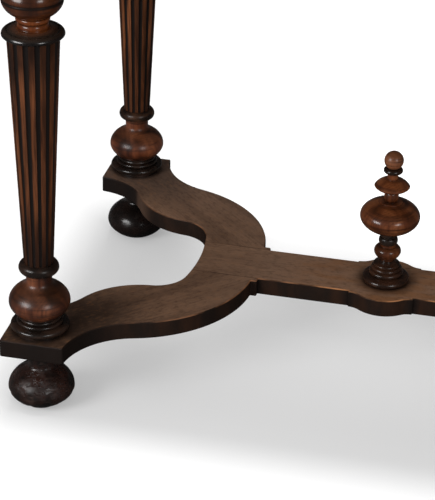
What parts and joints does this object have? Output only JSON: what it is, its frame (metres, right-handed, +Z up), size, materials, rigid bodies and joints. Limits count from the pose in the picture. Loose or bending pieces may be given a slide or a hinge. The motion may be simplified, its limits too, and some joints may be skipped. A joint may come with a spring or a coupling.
{
  "type": "occasional table",
  "caption": "Oblong occasional table on turned fluted legs with bun feet, joined by a flat shaped stretcher with a turned finial.",
  "frame": {"origin": "on the floor, under the middle of the table", "axes": "+X along the length of the top to the right, +Y to the back, +Z up"},
  "size_m": [0.987, 0.6424, 0.75],
  "materials": {
    "polished_walnut": "gloss polish over red-brown walnut",
    "fluted_walnut": "satin polish, dark in the flutes",
    "stretcher_walnut": "worn satin polish, dark on the edges",
    "top_walnut": "satin polish",
    "ebonised": "ebonised and polished, rubbed on the high places",
    "plain_wood": "bare planed wood",
    "screw_steel": "dull bright steel"
  },
  "bodies": {
    "root": {"foot_front_left": "ebonised", "foot_front_right": "ebonised", "foot_back_left": "ebonised", "foot_back_right": "ebonised", "base_ring_front_left": "ebonised", "base_ring_front_right": "ebonised", "base_ring_back_left": "ebonised", "base_ring_back_right": "ebonised", "lower_bulb_front_left": "polished_walnut", "lower_bulb_front_right": "polished_walnut", "lower_bulb_back_left": "polished_walnut", "lower_bulb_back_right": "polished_walnut", "lower_collar_front_left": "ebonised", "lower_collar_front_right": "ebonised", "lower_collar_back_left": "ebonised", "lower_collar_back_right": "ebonised", "shaft_front_left": "fluted_walnut", "shaft_front_right": "fluted_walnut", "shaft_back_left": "fluted_walnut", "shaft_back_right": "fluted_walnut", "upper_collar_front_left": "ebonised", "upper_collar_front_right": "ebonised", "upper_collar_back_left": "ebonised", "upper_collar_back_right": "ebonised", "leg_head_front_left": "polished_walnut", "leg_head_front_right": "polished_walnut", "leg_head_back_left": "polished_walnut", "leg_head_back_right": "polished_walnut", "stretcher_bar": "stretcher_walnut", "stretcher_arm_front_left": "stretcher_walnut", "stretcher_arm_front_right": "stretcher_walnut", "stretcher_arm_back_left": "stretcher_walnut", "stretcher_arm_back_right": "stretcher_walnut", "stretcher_tongues": "plain_wood", "finial_base": "ebonised", "finial_stem": "polished_walnut", "finial_neck_ring": "ebonised", "finial_bulb": "polished_walnut", "finial_spire": "polished_walnut", "finial_top_ring": "ebonised", "finial_ball": "polished_walnut", "frieze_rail_front": "top_walnut", "frieze_rail_right": "top_walnut", "frieze_rail_back": "top_walnut", "frieze_rail_left": "top_walnut", "frieze_bead_front": "ebonised", "frieze_bead_right": "ebonised", "frieze_bead_back": "ebonised", "frieze_bead_left": "ebonised", "top_board_front": "top_walnut", "top_board_middle": "top_walnut", "top_board_back": "top_walnut", "top_tongues": "plain_wood", "top_buttons": "plain_wood", "top_screws": "screw_steel"}
  },
  "joints": []
}
